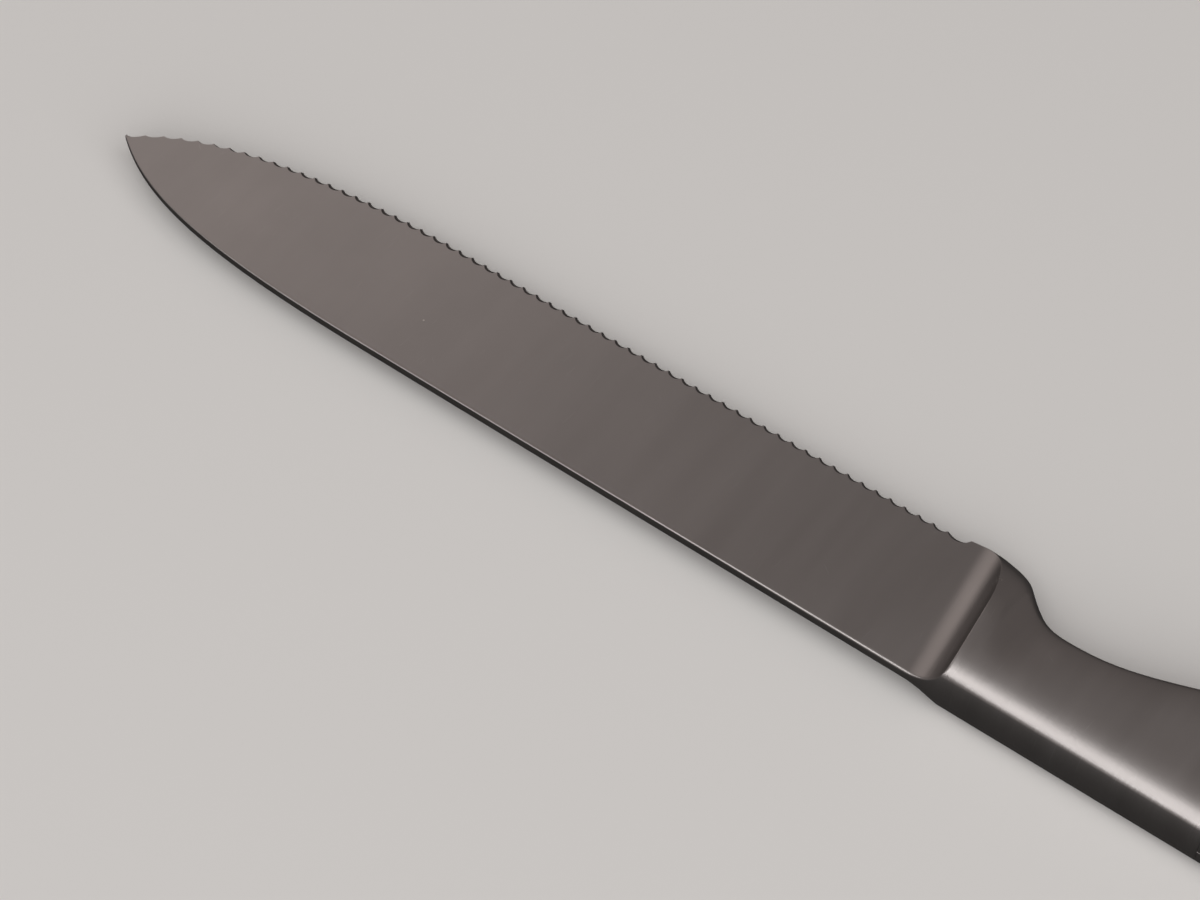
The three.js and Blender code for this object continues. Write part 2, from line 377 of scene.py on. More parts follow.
def side_points(bar, outline, x, rounding):
    """From the middle plane up one side to the face: points on the side, then round its corner."""
    corner_y, corner_z = bar.corner(outline, x)
    soft = rounding_size(outline, x, corner_z, rounding)
    low_z = corner_z - soft
    start = outline.at(x, bar.inset)
    stretch = outline.stretch(x)
    lug_share = outline.lug_share(x)
    rows = []
    for share in WALL_ROWS:
        z = low_z * (1 - 2 * share)
        rows.append((start + outline.inward * side_inset(z, lug_share) * stretch, z))
    low = (start + outline.inward * side_inset(low_z, lug_share) * stretch, low_z)
    face_y = corner_y + outline.inward * soft * stretch
    face = (face_y, bar.height(x, face_y))
    rows.append(low)
    corner = (corner_y, corner_z)
    for t in CORNER_STEPS:
        rows.append([rounded(*parts, t) for parts in zip(low, corner, face)])
    return [np.stack([x, y, z], -1) for y, z in rows], face_y


def face_border(bar, outline, x, rounding):
    """y where the face begins, inside the rounding of its corner."""
    if np.ndim(rounding):
        rounding = np.asarray(rounding)[:, None]
    corner_y, corner_z = bar.corner(outline, x)
    soft = rounding_size(outline, x, corner_z, rounding)
    return corner_y + outline.inward * soft * outline.stretch(x)


def upper_half(bar, x, spine_round, edge_round):
    """Half rings over the knife, from the middle of the spine side to the middle of the edge side.

    x has one row of positions for each ring, one for each of ROWS.
    """
    spine, face_start = side_points(bar, spine_side, x[:, 0], spine_round)
    edge, face_end = side_points(bar, edge_side, x[:, -1], edge_round)
    at_spine = face_border(bar, spine_side, x, spine_round)
    at_edge = face_border(bar, edge_side, x, edge_round)
    y = at_spine + (at_edge - at_spine) * ROWS
    y[:, 0] = face_start
    y[:, -1] = face_end
    face = np.stack([x, y, bar.height(x, y)], -1)
    return np.concatenate([np.stack(spine, 1), face, np.stack(edge[::-1], 1)], 1)


def whole_rings(half):
    """Closes half rings into whole ones by mirroring them in the middle plane."""
    lower = half[:, -2:0:-1] * np.array([1, 1, -1])
    return np.concatenate([half, lower], 1)


def knife_place():
    """The tip, on the middle plane, in the frame's metres."""
    low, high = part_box("blade_forging")
    return np.array([low.x, low.y - LOWEST_Y * MM, (low.z + high.z) / 2])


def ring_faces(rings, around):
    """Quads between neighbouring rings."""
    faces = []
    for i in range(rings - 1):
        start = i * around
        for m in range(around):
            n = (m + 1) % around
            faces.append((start + m, start + around + m, start + around + n, start + n))
    return faces


def end_faces(start, half, facing_tip):
    """Closes a whole ring by a strip of quads between its upper and its lower half."""
    around = 2 * half - 2
    faces = [(start, start + 1, start + around - 1)]
    for m in range(1, half - 2):
        faces.append((start + m, start + m + 1, start + around - m - 1, start + around - m))
    faces.append((start + half - 2, start + half - 1, start + half))
    if not facing_tip:
        faces = [face[::-1] for face in faces]
    return faces


def make_piece(name, points, faces, sharp=None):
    """A smooth mesh object from points in the knife's millimetres."""
    mesh = bpy.data.meshes.new(name)
    mesh.from_pydata((points.reshape(-1, 3) * MM + knife_place()).tolist(), [], faces)
    mesh.shade_smooth()
    if sharp is not None:
        ends = np.zeros(len(mesh.edges) * 2, np.int32)
        mesh.edges.foreach_get("vertices", ends)
        ends = ends.reshape(-1, 2)
        flags = mesh.attributes.new("sharp_edge", "BOOLEAN", "EDGE")
        flags.data.foreach_set("value", sharp(ends[:, 0], ends[:, 1]))
    mesh.update()
    piece = bpy.data.objects.new(name, mesh)
    bpy.context.scene.collection.objects.link(piece)
    return piece


def hand_over(piece, node):
    """Lets a finished piece stand for its CAD node."""
    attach(piece, "root")
    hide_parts(node)


# ---- Node trees ----


def add_node(tree, kind, inputs=(), **settings):
    """A node with its settings made and its inputs linked or set."""
    node = tree.nodes.new(kind)
    for name, value in settings.items():
        setattr(node, name, value)
    for key, value in dict(inputs).items():
        if isinstance(value, bpy.types.NodeSocket):
            tree.links.new(value, node.inputs[key])
        else:
            node.inputs[key].default_value = value
    return node


def calculate(tree, operation, *values):
    return add_node(tree, "ShaderNodeMath", enumerate(values), operation=operation).outputs[0]


def vector_math(tree, operation, **inputs):
    """A vector operation on a first vector, and on a second or a scale."""
    keys = {"first": 0, "second": 1, "scale": "Scale"}
    named = {keys[name]: value for name, value in inputs.items()}
    return add_node(tree, "ShaderNodeVectorMath", named, operation=operation)


def ramp(tree, value, start, end, low=0.0, high=1.0):
    """A number that runs from low to high while the value runs from start to end."""
    inputs = {"Value": value, "From Min": start, "From Max": end, "To Min": low, "To Max": high}
    return add_node(tree, "ShaderNodeMapRange", inputs).outputs[0]


def noise(tree, vector, scale, detail, roughness=0.5):
    inputs = {"Vector": vector, "Scale": scale, "Detail": detail, "Roughness": roughness}
    return add_node(tree, "ShaderNodeTexNoise", inputs).outputs["Fac"]


def dots(tree, vector, scale):
    """Distance from the nearest of many scattered points."""
    inputs = {"Vector": vector, "Scale": scale}
    return add_node(tree, "ShaderNodeTexVoronoi", inputs).outputs["Distance"]


def bumps(tree, depth, height):
    return add_node(tree, "ShaderNodeBump", {"Distance": depth, "Height": height}).outputs[0]


def mixed(tree, factor, first, second):
    """A colour between two others."""
    inputs = {"Factor": factor, "A": first, "B": second}
    return add_node(tree, "ShaderNodeMix", inputs, data_type="RGBA").outputs["Result"]


def new_material(name):
    """An empty material and its node tree."""
    material = bpy.data.materials.new(name)
    material.use_nodes = True
    material.node_tree.nodes.clear()
    return material, material.node_tree


def add_surface(tree, inputs):
    """The material's shader and its output."""
    surface = add_node(tree, "ShaderNodeBsdfPrincipled", inputs).outputs[0]
    add_node(tree, "ShaderNodeOutputMaterial", {"Surface": surface})


def new_group(name, kind, inputs, outputs):
    """An empty node group with its sockets, its input node and its output node."""
    group = bpy.data.node_groups.new(name, kind)
    for label, socket_type, default in inputs:
        socket = group.interface.new_socket(label, in_out="INPUT", socket_type=socket_type)
        if default is not None:
            socket.default_value = default
    for label, socket_type in outputs:
        group.interface.new_socket(label, in_out="OUTPUT", socket_type=socket_type)
    return group, group.nodes.new("NodeGroupInput"), group.nodes.new("NodeGroupOutput")


def scalloped_edge_tree():
    """Geometry nodes that grind a row of round, slanting scallops into the edge."""
    group, given, result = new_group(
        "scalloped_edge",
        "GeometryNodeTree",
        [
            ("Geometry", "NodeSocketGeometry", None),
            ("First cusp", "NodeSocketFloat", 0.0),
            ("Pitch", "NodeSocketFloat", 0.002),
            ("Count", "NodeSocketInt", 1),
            ("Depth", "NodeSocketFloat", 0.0004),
            ("Land", "NodeSocketFloat", 0.0001),
            ("Slant", "NodeSocketFloat", 0.0004),
            ("Hollowing", "NodeSocketFloat", 0.0002),
            ("Wide centre", "NodeSocketFloat", 0.1),
            ("Wide half width", "NodeSocketFloat", 0.001),
            ("Depth at tip", "NodeSocketFloat", 0.6),
            ("Full depth after", "NodeSocketFloat", 0.02),
            ("Face fall", "NodeSocketFloat", 0.02),
            ("Material", "NodeSocketMaterial", None),
        ],
        [("Geometry", "NodeSocketGeometry")],
    )
    use = given.outputs

    def attribute(name):
        kind = "GeometryNodeInputNamedAttribute"
        return add_node(group, kind, {"Name": name}, data_type="FLOAT").outputs[0]

    def do(operation, *values):
        return calculate(group, operation, *values)

    def cut(offset, half_width, depth, slant):
        """Depth of a round cut at an offset from its middle, cut deeper by the slant."""
        squares = do("ADD", do("MULTIPLY", half_width, half_width), do("MULTIPLY", depth, depth))
        radius = do("DIVIDE", squares, do("MULTIPLY", depth, 2.0))
        under = do("SUBTRACT", do("MULTIPLY", radius, radius), do("MULTIPLY", offset, offset))
        chord = do("SQRT", do("MAXIMUM", under, 0.0))
        floor = do("SUBTRACT", do("SUBTRACT", radius, depth), slant)
        return do("MAXIMUM", do("SUBTRACT", chord, floor), 0.0)

    along = attribute("along")
    ease = do("DIVIDE", along, use["Full depth after"])
    reach = do("MULTIPLY", ease, do("SUBTRACT", 1.0, use["Depth at tip"]))
    share = do("MINIMUM", do("ADD", use["Depth at tip"], reach), 1.0)
    upward = do("MULTIPLY", attribute("hollow"), share)
    depth = do("ADD", do("MULTIPLY", use["Depth"], share), do("MULTIPLY", use["Hollowing"], upward))
    slant = do("MULTIPLY", use["Slant"], upward)

    turn = do("DIVIDE", do("SUBTRACT", along, use["First cusp"]), use["Pitch"])
    offset = do("MULTIPLY", do("SUBTRACT", do("FRACT", turn), 0.5), use["Pitch"])
    half_width = do("MULTIPLY", do("SUBTRACT", use["Pitch"], use["Land"]), 0.5)
    in_row = do("MULTIPLY", do("GREATER_THAN", turn, 0.0), do("LESS_THAN", turn, use["Count"]))
    scallops = do("MULTIPLY", cut(offset, half_width, depth, slant), in_row)
    wide_offset = do("SUBTRACT", along, use["Wide centre"])
    wide = cut(wide_offset, use["Wide half width"], depth, slant)

    inward = do("MULTIPLY", do("MAXIMUM", scallops, wide), attribute("grind"))
    rise = do("MULTIPLY", do("MULTIPLY", inward, use["Face fall"]), attribute("side"))
    move = add_node(group, "ShaderNodeCombineXYZ", {"Y": do("MULTIPLY", inward, -1.0), "Z": rise})
    moved = add_node(
        group, "GeometryNodeSetPosition", {"Geometry": use["Geometry"], "Offset": move.outputs[0]}
    ).outputs[0]
    real = add_node(group, "GeometryNodeRealizeInstances", {"Geometry": moved}).outputs[0]
    finished = add_node(
        group, "GeometryNodeSetMaterial", {"Geometry": real, "Material": use["Material"]}
    ).outputs[0]
    group.links.new(finished, result.inputs["Geometry"])
    return group


def run_nodes(piece, tree, values):
    """Runs a geometry node tree on a piece once and keeps the result as its plain mesh."""
    modifier = piece.modifiers.new(tree.name, "NODES")
    modifier.node_group = tree
    for item in tree.interface.items_tree:
        if item.in_out == "INPUT" and item.name in values:
            modifier[item.identifier] = values[item.name]
    bpy.context.view_layer.update()
    evaluated = piece.evaluated_get(bpy.context.evaluated_depsgraph_get())
    finished = bpy.data.meshes.new_from_object(evaluated)
    finished.name = piece.name
    piece.modifiers.remove(modifier)
    piece.data = finished


# ---- Shader node groups ----


def grinding_lines_group():
    """Fine parallel lines that a belt leaves across the metal, as a height and as a tone."""
    group, given, result = new_group(
        "grinding_lines",
        "ShaderNodeTree",
        [
            ("Vector", "NodeSocketVector", None),
            ("Lines per mm", "NodeSocketFloat", 5.0),
            ("Line length mm", "NodeSocketFloat", 12.0),
        ],
        [("Height", "NodeSocketFloat"), ("Tone", "NodeSocketFloat")],
    )
    fine = calculate(group, "MULTIPLY", given.outputs["Lines per mm"], 1 / MM)
    long = calculate(group, "DIVIDE", 1 / MM, given.outputs["Line length mm"])
    stretch = add_node(group, "ShaderNodeCombineXYZ", {"X": fine, "Y": long, "Z": long}).outputs[0]
    line_space = vector_math(group, "MULTIPLY", first=given.outputs["Vector"], second=stretch).outputs[0]
    lines = noise(group, line_space, 1.0, 3.0, 0.6)
    broad_space = vector_math(group, "MULTIPLY", first=line_space, second=(0.12, 0.5, 0.5)).outputs[0]
    broad = noise(group, broad_space, 1.0, 2.0)
    height = calculate(group, "ADD", lines, calculate(group, "MULTIPLY", broad, 0.25))
    group.links.new(height, result.inputs["Height"])
    group.links.new(broad, result.inputs["Tone"])
    return group


def handling_marks_group():
    """Hairline scratches, pin-point specks and faint smears from use, each as a mask."""
    group, given, result = new_group(
        "handling_marks",
        "ShaderNodeTree",
        [("Vector", "NodeSocketVector", None), ("Scratches", "NodeSocketFloat", 0.5)],
        [("Scratch", "NodeSocketFloat"), ("Speck", "NodeSocketFloat"), ("Smear", "NodeSocketFloat")],
    )
    place = given.outputs["Vector"]
    found = None
    for turn, stretch, least in HAIRLINES:
        inputs = {"Vector": place, "Angle": turn}
        turned = add_node(group, "ShaderNodeVectorRotate", inputs, rotation_type="Z_AXIS").outputs[0]
        space = vector_math(group, "MULTIPLY", first=turned, second=stretch).outputs[0]
        hair = ramp(group, noise(group, space, 1.0, 1.0), least, least + HAIR_FADE)
        found = hair if found is None else calculate(group, "MAXIMUM", found, hair)
    scratch = calculate(group, "MULTIPLY", found, given.outputs["Scratches"])
    speck = ramp(group, dots(group, place, SPECKS_PER_METRE), *SPECK_SIZE, 1.0, 0.0)
    smear = ramp(group, noise(group, place, SMEARS_PER_METRE, 3.0), 0.35, 0.7)
    group.links.new(scratch, result.inputs["Scratch"])
    group.links.new(speck, result.inputs["Speck"])
    group.links.new(smear, result.inputs["Smear"])
    return group


def coarser_behind(tree, place, start):
    """Gain of the grinding lines: the bolster is finished on a coarser belt than the blade."""
    x = add_node(tree, "ShaderNodeSeparateXYZ", {"Vector": place}).outputs["X"]
    return ramp(tree, x, start, start + MM, 1.0, BOLSTER_GAIN)


def knocks_and_glint(tree, place, centre):
    """A mask of small knocks close round a point, for their dents and for their painted glint."""
    away = vector_math(tree, "DISTANCE", first=place, second=centre).outputs["Value"]
    near = ramp(tree, away, *KNOCK_REACH, 1.0, 0.0)
    marks = ramp(tree, noise(tree, place, KNOCKS_PER_METRE, 1.0), 0.6, 0.66)
    return calculate(tree, "MULTIPLY", near, marks)


def steel_material(name, steel, grind, heel=None):
    """Belt-ground stainless steel with its grinding lines across the knife.

    heel is the worn corner of the heel line, on the piece that has one; its knocks are dented and also
    carry a painted glint in their colour.
    """
    material, tree = new_material(name)
    place = add_node(tree, "ShaderNodeTexCoord").outputs["Object"]

    def use_group(label, inputs):
        group = bpy.data.node_groups[label]
        return add_node(tree, "ShaderNodeGroup", {"Vector": place, **inputs}, node_tree=group).outputs

    lines = use_group(
        "grinding_lines",
        {"Lines per mm": grind["lines_per_mm"], "Line length mm": grind["line_length"]},
    )
    marks = use_group("handling_marks", {"Scratches": grind["scratches"]})

    smeared = [part * SMEAR_TINT for part in steel.colour]
    base = mixed(tree, marks["Smear"], (*steel.colour, 1), (*smeared, 1))
    tone = ramp(tree, lines["Tone"], 0.3, 0.7, 1 - TONE_SPREAD, 1 + TONE_SPREAD)
    shine = vector_math(tree, "SCALE", first=base, scale=tone).outputs[0]
    shine = mixed(tree, marks["Scratch"], shine, SCRATCH_COLOUR)
    shine = mixed(tree, marks["Speck"], shine, SPECK_COLOUR)
    height = lines["Height"]
    if heel:
        height = calculate(tree, "MULTIPLY", height, coarser_behind(tree, place, heel[0]))
        knocks_and_glint_mask = knocks_and_glint(tree, place, heel)
        height = calculate(tree, "SUBTRACT", height, calculate(tree, "MULTIPLY", knocks_and_glint_mask, KNOCK_DEPTH))
        # The knocks are painted a brighter colour: a painted glint over real wear marks
        shine = mixed(tree, knocks_and_glint_mask, shine, KNOCK_AND_GLINT_COLOUR)
    mirrored = add_node(tree, "ShaderNodeLightPath").outputs["Is Glossy Ray"]
    dimmed = ramp(tree, mirrored, 0.0, 1.0, 1.0, 1 - STEEL_IN_STEEL)
    shine = vector_math(tree, "SCALE", first=shine, scale=dimmed).outputs[0]

    smear_rough = calculate(tree, "MULTIPLY", marks["Smear"], SMEAR_ROUGHNESS)
    uneven = calculate(tree, "SUBTRACT", lines["Tone"], 0.5)
    line_rough = calculate(tree, "MULTIPLY", uneven, TONE_ROUGHNESS)
    rough = calculate(tree, "ADD", steel.roughness, calculate(tree, "ADD", smear_rough, line_rough))
    cut = calculate(tree, "MULTIPLY", marks["Scratch"], SCRATCH_DEPTH)
    groove = calculate(tree, "SUBTRACT", height, cut)
    bump = bumps(tree, grind["line_depth"], groove)
    add_surface(tree, {"Base Color": shine, "Roughness": rough, "Metallic": 1.0, "Normal": bump})
    return material


def dull_material(name, light, dark, grain, roughness, metallic, bump_depth):
    """Set cement or cast iron: a mottled, grainy matt surface."""
    material, tree = new_material(name)
    place = add_node(tree, "ShaderNodeTexCoord").outputs["Object"]
    colour = mixed(tree, noise(tree, place, grain, 6.0), (*dark, 1), (*light, 1))
    bump = bumps(tree, bump_depth, dots(tree, place, grain * 2))
    inputs = {"Base Color": colour, "Roughness": roughness, "Metallic": metallic, "Normal": bump}
    add_surface(tree, inputs)
    return material


# ---- Settings ----


class KnifeBladeSettings(bpy.types.PropertyGroup):
    """Sizes of the blade, its plunge and its scalloped edge."""

    first_cusp: FloatProperty(
        name="First cusp",
        description="Distance of the first cusp from the tip",
        default=0.00004,
        unit="LENGTH",
    )
    scallop_pitch: FloatProperty(
        name="Scallop pitch", description="Distance from cusp to cusp", default=0.00197, unit="LENGTH"
    )
    scallop_count: IntProperty(
        name="Scallops", description="Number of equal scallops, without the wide last one", default=59
    )
    scallop_depth: FloatProperty(
        name="Scallop depth",
        description="Depth of a scallop at the lower face",
        default=0.00036,
        unit="LENGTH",
    )
    scallop_slant: FloatProperty(
        name="Scallop slant",
        description="How far the scallops lean inward from the lower face to the upper",
        default=0.00046,
        unit="LENGTH",
    )
    scallop_hollowing: FloatProperty(
        name="Scallop hollowing",
        description="How much rounder a scallop is at the upper face",
        default=0.00012,
        unit="LENGTH",
    )
    depth_at_tip: FloatProperty(
        name="Depth at the tip",
        description="Share of the depth that a scallop at the tip has",
        default=0.6,
        subtype="FACTOR",
    )
    full_depth_after: FloatProperty(
        name="Full depth after",
        description="Distance from the tip to the full depth",
        default=0.024,
        unit="LENGTH",
    )
    cusp_land: FloatProperty(
        name="Cusp land", description="Flat left on a cusp", default=0.00015, unit="LENGTH"
    )
    wide_centre: FloatProperty(
        name="Wide scallop", description="Middle of the wide last scallop", default=0.1176, unit="LENGTH"
    )
    wide_half_width: FloatProperty(
        name="Wide half width",
        description="Half width of the wide last scallop",
        default=0.00125,
        unit="LENGTH",
    )
    spine_thickness: FloatProperty(
        name="Spine thickness",
        description="Thickness of the spine at the heel",
        default=0.00156,
        unit="LENGTH",
    )
    fall_to_edge: FloatProperty(
        name="Fall to the edge", description="How fast one face falls towards the edge", default=0.0226
    )
    fall_to_tip: FloatProperty(
        name="Fall to the tip",
        description="How fast one face falls towards the tip",
        default=0.0013,
        precision=4,
    )
    plunge_radius: FloatProperty(
        name="Plunge radius",
        description="Radius of the hollow before the bolster",
        default=0.005,
        unit="LENGTH",
    )
    heel_lean: FloatProperty(
        name="Heel lean",
        description="How far the plunge's edge end leans to the tip",
        default=math.radians(6),
        subtype="ANGLE",
    )
    edge_break: FloatProperty(
        name="Spine edge rounding",
        description="Size of the rounding along the spine",
        default=0.00014,
        unit="LENGTH",
    )
    heel_break: FloatProperty(
        name="Heel line rounding",
        description="Size of the rounding along the heel line",
        default=0.00006,
        unit="LENGTH",
    )


class KnifeHandleSettings(bpy.types.PropertyGroup):
    """Sizes of the hollow handle."""

    wall: FloatProperty(
        name="Wall", description="Thickness of the pressed shells", default=0.001, unit="LENGTH"
    )
    crease_break: FloatProperty(
        name="Crease rounding",
        description="Size of the rounding along the crease",
        default=0.0002,
        unit="LENGTH",
    )
    seam_break: FloatProperty(
        name="Seam chamfer",
        description="Chamfer along the seams and the joint",
        default=0.00006,
        unit="LENGTH",
    )


class KnifeSteelSettings(bpy.types.PropertyGroup):
    """The stainless steel's finish."""

    colour: FloatVectorProperty(
        name="Steel",
        description="Reflected colour of the steel",
        default=(0.58, 0.542, 0.527),
        subtype="COLOR",
    )
    roughness: FloatProperty(
        name="Roughness",
        description="Roughness between the grinding lines",
        default=0.315,
        subtype="FACTOR",
    )


class KnifeStageSettings(bpy.types.PropertyGroup):
    """The plain floor and the soft lights."""

    floor_colour: FloatVectorProperty(
        name="Floor", description="Colour of the floor", default=(0.74, 0.72, 0.7), subtype="COLOR"
    )
    key_power: FloatProperty(
        name="Key", description="Power of the key light", default=1.62, unit="POWER"
    )
    fill_power: FloatProperty(
        name="Fill", description="Power of the fill light", default=34.0, unit="POWER"
    )
    back_power: FloatProperty(
        name="Back", description="Power of the light behind the tip", default=0.075, unit="POWER"
    )
    low_power: FloatProperty(
        name="Low", description="Power of the low light in the plunge", default=0.009, unit="POWER"
    )
    world_strength: FloatProperty(name="Room", description="Brightness of the room", default=0.125)
    backdrop: FloatProperty(
        name="Backdrop", description="Brightness of the room where it is seen", default=0.6
    )


# ---- Blade forging ----


def blade_stations(blade, ground):
    """x of every row for the rings of the flat face, the plunge, the heel line and the neck."""
    pitch = blade.scallop_pitch / MM
    first = blade.first_cusp / MM
    edge_x = [0.0]
    for i in range(blade.scallop_count):
        edge_x += [first + pitch * (i + share) for share in SCALLOP_STATIONS]
    wide_start = first + pitch * blade.scallop_count
    wide_end = (blade.wide_centre + blade.wide_half_width) / MM
    edge_x += list(np.linspace(wide_start, wide_end, WIDE_STATIONS))
    rows_y = LOWEST_Y + (edge_side.at(wide_end) - LOWEST_Y) * ROWS
    tangent = ground.tangent_x(rows_y)
    edge_x += list(np.linspace(wide_end, tangent[-1], HEEL_STATIONS)[1:-1])
    flat = np.outer(np.array(edge_x) / tangent[-1], tangent)

    bar = Bar(ground)
    plain = Bar()
    low, high = tangent.copy(), np.full_like(tangent, HEEL_X + PLUNGE_SEARCH)
    for _ in range(40):
        middle = (low + high) / 2
        at_spine = bar.corner(spine_side, middle)[0]
        at_edge = bar.corner(edge_side, middle)[0]
        y = at_spine + (at_edge - at_spine) * ROWS
        limit = plain.height(middle, y)
        limit[0] = plain.crease_height(spine_side, middle[0])
        limit[-1] = plain.crease_height(edge_side, middle[-1])
        short = ground.height(middle, y) < limit
        low = np.where(short, middle, low)
        high = np.where(short, high, middle)
    heel = (low + high) / 2

    steepest = math.asin(ground.run / ground.radius)
    climb = np.sin(np.linspace(0, steepest, PLUNGE_STEPS)) / math.sin(steepest)
    soft = blade.heel_break / MM
    before = heel - 0.5 * soft
    after = heel + soft
    plunge = tangent + np.outer(climb, before - tangent)

    neck_x = []
    start = after[-1] + NECK_START
    for end, step in NECK_STEPS:
        neck_x += list(np.arange(start, end, step))
        start = end
    neck_x.append(JOINT_X)
    share = (np.array(neck_x) - after[-1]) / (JOINT_X - after[-1])
    neck = after + np.outer(share, JOINT_X - after)
    return flat, plunge, heel, after, neck


def tang_ring(half_ring, x, width, thickness):
    """Half a ring of the tang's flat section, with a point in the direction of each point given."""
    centre = np.array([HANDLE_AXIS_Y, 0])
    away = half_ring[:, 1:] - centre
    reach = np.maximum(np.abs(away[:, 0]) / (width / 2), np.abs(away[:, 1]) / (thickness / 2))
    ring = half_ring.copy()
    ring[:, 0] = x
    ring[:, 1:] = centre + away / reach[:, None]
    return ring


class KNIFE_OT_forge_blade(bpy.types.Operator):
    """Forge and grind the blade with its bolster, spigot and tang"""

    bl_idname = "knife.forge_blade"
    bl_label = "Blade forging"

    def execute(self, context):
        blade = context.scene.knife_blade
        handle = context.scene.knife_handle
        steel = context.scene.knife_steel
        ground = Ground(blade)
        flat, plunge, heel, after, neck = blade_stations(blade, ground)
        bar = Bar(ground)
        crease = handle.crease_break / MM
        spine_round = blade.edge_break / MM

        def rings(x):
            ease = smooth_step(x[:, -1], *CREASE_TAKES_OVER)
            edge_round = EDGE_ROUNDING + (crease - EDGE_ROUNDING) * ease
            spine = spine_round * (1 + SPINE_GROWTH * smooth_step(x[:, 0], *SPINE_GROWS))
            spine += (crease - spine) * ease
            return upper_half(bar, x, spine, edge_round)

        corner = rings(heel[None])[0]
        last_ground = rings(plunge[-1:])[0]
        first_crown = rings(after[None])[0]
        heel_rings = [rounded(last_ground, corner, first_crown, t) for t in CORNER_STEPS]
        halves = np.concatenate(
            [rings(flat), rings(plunge), np.array(heel_rings), first_crown[None], rings(neck)]
        )
        outer_rings = len(halves)
        inner = Bar(inset=handle.wall / MM + FIT_GAP)
        tang_start = JOINT_X + SPIGOT
        spigot = upper_half(inner, np.full((2, len(ROWS)), [[JOINT_X], [tang_start]]), crease, crease)
        tang_end = tang_start + TANG_LENGTH
        tang_rings = [
            tang_ring(spigot[-1], tang_start, TANG_ROOT_WIDTH, TANG_THICKNESS),
            tang_ring(spigot[-1], tang_end - TANG_POINT_LENGTH, TANG_TIP_WIDTH, TANG_THICKNESS),
            tang_ring(spigot[-1], tang_end, TANG_POINT_WIDTH, TANG_POINT_THICKNESS),
        ]
        halves = np.concatenate([halves, spigot, np.array(tang_rings)])
        points = whole_rings(halves)
        ring_count, around = points.shape[:2]
        half = halves.shape[1]
        faces = ring_faces(ring_count, around)
        faces += end_faces(0, half, True)
        faces += end_faces((ring_count - 1) * around, half, False)

        face_start = len(WALL_ROWS) + 1 + len(CORNER_STEPS)
        face_end = face_start + len(ROWS) - 1

        def sharp(a, b):
            ring_a, row_a = np.divmod(a, around)
            ring_b, row_b = np.divmod(b, around)
            on_edge = (row_a == row_b) & np.isin(row_a, [face_end, around - face_end])
            step = (ring_a == ring_b) & (ring_a >= outer_rings - 1)
            return (on_edge & (ring_a < len(flat))) | step

        piece = make_piece("blade_forged", points, faces, sharp)
        self.add_attributes(piece.data, points, flat, face_start, face_end, half)
        worn = corner[np.argmin(np.abs(corner[:, 1] - WORN_Y))] - np.array([WORN_BEFORE, 0, 0])
        worn = worn * MM + knife_place()
        material = steel_material("ground_blade_steel", steel, BLADE_GRIND, tuple(worn))
        run_nodes(
            piece,
            scalloped_edge_tree(),
            {
                "First cusp": blade.first_cusp,
                "Pitch": blade.scallop_pitch,
                "Count": blade.scallop_count,
                "Depth": blade.scallop_depth,
                "Land": blade.cusp_land,
                "Slant": blade.scallop_slant,
                "Hollowing": blade.scallop_hollowing,
                "Wide centre": blade.wide_centre,
                "Wide half width": blade.wide_half_width,
                "Depth at tip": blade.depth_at_tip,
                "Full depth after": blade.full_depth_after,
                "Face fall": blade.fall_to_edge,
                "Material": material,
            },
        )
        hand_over(piece, "blade_forging")
        return {"FINISHED"}

    def add_attributes(self, mesh, points, flat, face_start, face_end, half):
        """Marks how each point takes part in the scallops, for the geometry nodes."""
        ring_count, around = points.shape[:2]
        along = np.full(ring_count, 1.0)
        along[: len(flat)] = flat[:, -1] * MM
        rows = np.arange(around)
        upper = rows < half
        row = np.where(upper, rows, around - rows)
        on_face = (row >= face_start) & (row <= face_end)
        on_edge = row > face_end
        face_share = ROWS[np.clip(row - face_start, 0, len(ROWS) - 1)]
        width = points[:, half - 1, 1] - points[:, 0, 1]
        distance = (1 - face_share)[None] * width[:, None]
        reach = np.minimum(GRIND_REACH, GRIND_SHARE * width)[:, None]
        fade = np.clip(1 - distance / reach, 0, 1)
        grind = np.where(on_edge[None], 1.0, np.where(on_face[None], fade, 0.0))
        shares = np.concatenate([np.zeros(len(CORNER_STEPS) + 1), np.array(WALL_ROWS[::-1])])
        steps = np.clip(row - face_end - 1, 0, len(shares) - 1)
        depth_share = np.where(on_edge, shares[steps], 0.0)
        through = np.where(upper, depth_share, 1 - depth_share)
        lean = 1 - (1 - LIP_SHARE) * through / LIP_START
        lip = LIP_SHARE * (1 - through) / (1 - LIP_START)
        hollow = np.where(through < LIP_START, lean, lip)
        side = np.broadcast_to(1 - 2 * through, points.shape[:2])
        hollow = np.broadcast_to(hollow, points.shape[:2])
        values = {
            "along": np.repeat(along, around),
            "grind": grind.ravel(),
            "hollow": hollow.ravel(),
            "side": side.ravel(),
        }
        for name, value in values.items():
            attribute = mesh.attributes.new(name, "FLOAT", "POINT")
            attribute.data.foreach_set("value", value.astype(np.float32))


# ---- Hollow handle ----


def handle_x(start, end, step):
    """Even stations from start to end, about a step apart."""
    return np.linspace(start, end, max(2, int((end - start) / step) + 1))


